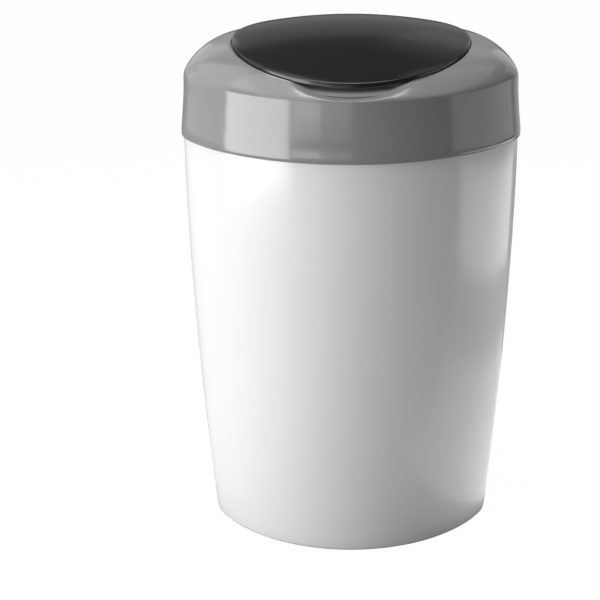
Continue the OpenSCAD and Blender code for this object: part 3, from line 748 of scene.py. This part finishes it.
def make_loose_film():
    """First length of film, pulled from the pleats in gathers that stand up against the inner wall."""
    low, high = corners("refill_loose_film")
    outer_r = (high[0] - low[0]) / 2 + 0.3
    inner_r = 59.2
    steps = 40
    thin, hem_drop, base_lift = 0.22, 0.9, 0.5
    roll_h, roll_at, roll_w = 1.5, 0.08, 0.07
    stand_h, wobble_h, lean_r = 5.2, 0.5, 0.35
    angle = round_angles(540)
    phases = rng.uniform(0, 2 * math.pi, (len(GATHERS), 2))
    lean_count, lean_phase = GATHERS[2][0], phases[2][1]
    tops = []
    for k in range(steps + 1):
        share = k / steps
        gather = share ** 1.4
        crumple = np.zeros_like(angle)
        for (count, height), (phase, swirl) in zip(GATHERS, phases):
            drift = phase + 0.9 * math.sin(3 * share + swirl) + 0.5 * share
            crumple += height * ridged(angle, count, drift, 0.8)
        roll = roll_h * math.exp(-((share - roll_at) / roll_w) ** 2)
        stand = stand_h * share ** 3.2
        wobble = wobble_h * np.sin(5 * angle + phases[0][0] + 2 * share)
        lean = lean_r * gather * np.sin(lean_count * angle + lean_phase)
        r = outer_r + (inner_r - outer_r) * share + np.maximum(lean, 0)
        z = low[2] + base_lift + roll + stand + (0.25 + 0.75 * gather) * (crumple + wobble)
        tops.append(polar_ring(angle, r, z))
    under = [top - [0, 0, thin] for top in tops[::-1]]
    hem = tops[0] - [0, 0, hem_drop]
    points, faces = lattice(tops + under[:-1] + [hem])
    piece = mesh_piece("loose_film", points, faces, film_clear, "refill", sharp_deg=80)
    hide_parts("refill_loose_film")


# Spring of the cutter


def coil_rise(share, turns):
    """Height of a coil along its length, both from 0 to 1, with its end turns closed."""
    flat, closed, eased = 0.9 / turns, 0.09, 0.35
    climb = np.clip((share - flat) / (1 - 2 * flat), 0, 1)
    climb = climb * climb * (3 - 2 * climb) * eased + climb * (1 - eased)
    first = closed * np.clip(share / flat, 0, 1)
    last = closed * np.clip((share - 1 + flat) / flat, 0, 1)
    return first + (1 - 2 * closed) * climb + last


def make_push_spring():
    """Coil spring under the button, with its end turns closed."""
    low, high = corners("cutter_spring")
    wire_r, turns, steps, sides = 0.25, 7, 28, 10
    coil_r = (high[0] - low[0]) / 2 - wire_r
    middle = (low + high) / 2
    count = turns * steps
    share = np.arange(count + 1) / count
    turn = 2 * math.pi * turns * share
    z = low[2] + wire_r + (high[2] - low[2] - 2 * wire_r) * coil_rise(share, turns)
    centre = np.column_stack([middle[0] + coil_r * np.cos(turn), middle[1] + coil_r * np.sin(turn), z])
    along = unit(np.gradient(centre, axis=0))
    radial = np.column_stack([np.cos(turn), np.sin(turn), np.zeros_like(turn)])
    upward = unit(np.cross(radial, along))
    outward = np.cross(along, upward)
    around = round_angles(sides)[None, :, None]
    across = np.cos(around) * outward[:, None] + np.sin(around) * upward[:, None]
    points = centre[:, None] + wire_r * across
    faces = []
    for k in range(count):
        for i in range(sides):
            j = (i + 1) % sides
            faces.append((k * sides + i, k * sides + j, (k + 1) * sides + j, (k + 1) * sides + i))
    faces += [tuple(range(sides))[::-1], tuple(count * sides + i for i in range(sides))]
    piece = mesh_piece("push_spring", points.reshape(-1, 3), faces, steel_plated, "dial")
    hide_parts("cutter_spring")
    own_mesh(piece)


make_body()
make_cover()
make_lid()
make_film_pack()
make_loose_film()
make_push_spring()


# Studio, in metres

# Height that the lamps above the bin look at, and height of the lamps on the floor
AIM_Z = 0.28
FLOOR_BOX_Z = 0.003

# Lamps that stand round the bin: name, bearing, distance, lower and upper edge, width, brightness
UPRIGHT_BOXES = [
    ("key_low", -58, 1.0, 0.02, 0.40, 0.80, 23.5),
    ("key_top", -42, 1.0, 0.80, 1.25, 0.80, 7.5),
    ("left_wall", -102, 1.1, 0.15, 1.00, 0.85, 2.4),
    ("strip_left", -26, 1.2, 0.11, 0.26, 0.36, 11.0),
    ("strip_middle", -8, 1.2, 0.11, 0.26, 0.36, 4.2),
    ("right_low", 90, 1.0, 0.12, 0.40, 1.05, 3.1),
    ("right_strip", 95, 0.6, 0.01, 0.16, 0.60, 8.0),
    ("right_back", 140, 1.1, 0.02, 0.90, 0.70, 1.9),
    ("back_wall", 180, 1.3, 0.42, 1.30, 2.00, 1.0),
    ("left_back", -140, 1.1, 0.35, 1.00, 0.90, 1.4),
]

# Lamps that look down on the bin: name, bearing, angle above the floor, distance, size, brightness
RAISED_BOXES = [
    ("back_sky", 180, 55, 1.3, (1.8, 0.8), 0.35),
    ("left_high", -110, 46, 1.3, (1.0, 0.6), 3.0),
    ("left_sky", -60, 70, 1.3, (1.4, 0.9), 4.6),
    ("right_sky", 100, 58, 1.3, (1.2, 0.8), 1.4),
    ("right_back_sky", 150, 38, 1.3, (0.8, 0.5), 0.5),
    ("overhead", 0, 84, 1.4, (0.9, 0.5), 19.0),
]

# Lamps that lie on the floor beside the bin and shine up: name, place, size, brightness
FLOOR_BOXES = [
    ("right_floor", (0.25, 0.02), (0.26, 0.44), 2.8),
    ("left_floor", (-0.26, -0.14), (0.26, 0.50), 0.7),
]

# Floor: what falls on it, and what the camera and the gloss see of it
FLOOR_REACH = 12
FLOOR_BELOW = 0.0003
FLOOR_GREY = 0.23
FLOOR_WHITE = 1.05
FLOOR_SEEN = 0.94
FLOOR_IN_GLOSS = 0.12


def softbox(name, place, aim, size, brightness):
    """Rectangular lamp turned to a point, with its brightness in watts for each square metre."""
    data = bpy.data.lights.new(name, "AREA")
    data.shape = "RECTANGLE"
    data.size, data.size_y = size
    data.energy = brightness * size[0] * size[1]
    lamp = bpy.data.objects.new(name, data)
    bpy.context.scene.collection.objects.link(lamp)
    lamp.location = place
    direction = np.array(aim) - np.array(place)
    yaw = math.atan2(direction[0], -direction[1])
    drop = math.atan2(-direction[2], np.hypot(direction[0], direction[1]))
    lamp.rotation_euler = (math.pi / 2 - drop, 0, yaw + math.pi)
    lamp.visible_camera = False


def upright_box(name, bearing, away, low, high, width, brightness):
    """Softbox that stands round the bin. Its bearing is counted from the front to the right."""
    turn = math.radians(bearing)
    x, y, z = away * math.sin(turn), -away * math.cos(turn), (low + high) / 2
    softbox(name, (x, y, z), (0, 0, z), (width, high - low), brightness)


def raised_box(name, bearing, rise, away, size, brightness):
    """Softbox that looks down on the bin."""
    turn, lift = math.radians(bearing), math.radians(rise)
    x, y = away * math.sin(turn) * math.cos(lift), -away * math.cos(turn) * math.cos(lift)
    softbox(name, (x, y, AIM_Z + away * math.sin(lift)), (0, 0, AIM_Z), size, brightness)


def floor_box(name, place, size, brightness):
    """Softbox just above the floor that looks straight up."""
    softbox(name, (*place, FLOOR_BOX_Z), (*place, 1), size, brightness)


def maths_node(tree, operation, factor=None):
    node = tree.nodes.new("ShaderNodeMath")
    node.operation = operation
    if factor is not None:
        node.inputs[1].default_value = factor
    return node


def make_floor():
    """Grey floor for the light that falls on it, white where the camera sees it."""
    mesh = bpy.data.meshes.new("floor")
    signs = ((-1, -1), (1, -1), (1, 1), (-1, 1))
    points = [(x * FLOOR_REACH, y * FLOOR_REACH, -FLOOR_BELOW) for x, y in signs]
    mesh.from_pydata(points, [], [(0, 1, 2, 3)])
    floor = bpy.data.objects.new("floor", mesh)
    bpy.context.scene.collection.objects.link(floor)
    material, tree, shader = new_material("floor_white")
    shader.inputs["Base Color"].default_value = (FLOOR_GREY, FLOOR_GREY, FLOOR_GREY, 1)
    shader.inputs["Roughness"].default_value = 0.9
    shader.inputs["Specular IOR Level"].default_value = 0
    path = tree.nodes.new("ShaderNodeLightPath")
    clear = maths_node(tree, "MAXIMUM")
    link(tree, path, "Is Camera Ray", clear, 0)
    link(tree, path, "Is Transmission Ray", clear, 1)
    glossy = maths_node(tree, "MULTIPLY", FLOOR_IN_GLOSS)
    link(tree, path, "Is Glossy Ray", glossy, 0)
    seen = maths_node(tree, "MULTIPLY_ADD", FLOOR_SEEN)
    link(tree, clear, 0, seen, 0)
    link(tree, glossy, 0, seen, 2)
    glow = tree.nodes.new("ShaderNodeEmission")
    glow.inputs["Strength"].default_value = FLOOR_WHITE
    blend = tree.nodes.new("ShaderNodeMixShader")
    link(tree, seen, 0, blend, 0)
    link(tree, shader, 0, blend, 1)
    link(tree, glow, 0, blend, 2)
    link(tree, blend, 0, tree.nodes["Material Output"], 0)
    mesh.materials.append(material)


def make_world():
    """Black room whose background the camera sees as white."""
    world = bpy.data.worlds.new("studio")
    world.use_nodes = True
    tree = world.node_tree
    path = tree.nodes.new("ShaderNodeLightPath")
    backdrop = tree.nodes["Background"]
    backdrop.inputs["Color"].default_value = (1, 1, 1, 1)
    link(tree, path, "Is Camera Ray", backdrop, "Strength")
    bpy.context.scene.world = world


def make_camera():
    data = bpy.data.cameras.new("camera")
    data.sensor_width = SENSOR
    data.lens = camera_focal_px * SENSOR / PHOTO_W
    data.shift_x = -(middle_px - PHOTO_W / 2) / PHOTO_W
    camera = bpy.data.objects.new("camera", data)
    bpy.context.scene.collection.objects.link(camera)
    camera.location = (0, camera_y * MM, camera_z * MM)
    camera.rotation_euler = (math.radians(90 - camera_pitch), 0, 0)
    bpy.context.scene.camera = camera


make_floor()
make_world()
make_camera()
for box in UPRIGHT_BOXES:
    upright_box(*box)
for box in RAISED_BOXES:
    raised_box(*box)
for box in FLOOR_BOXES:
    floor_box(*box)

bpy.context.scene.view_settings.view_transform = "Standard"
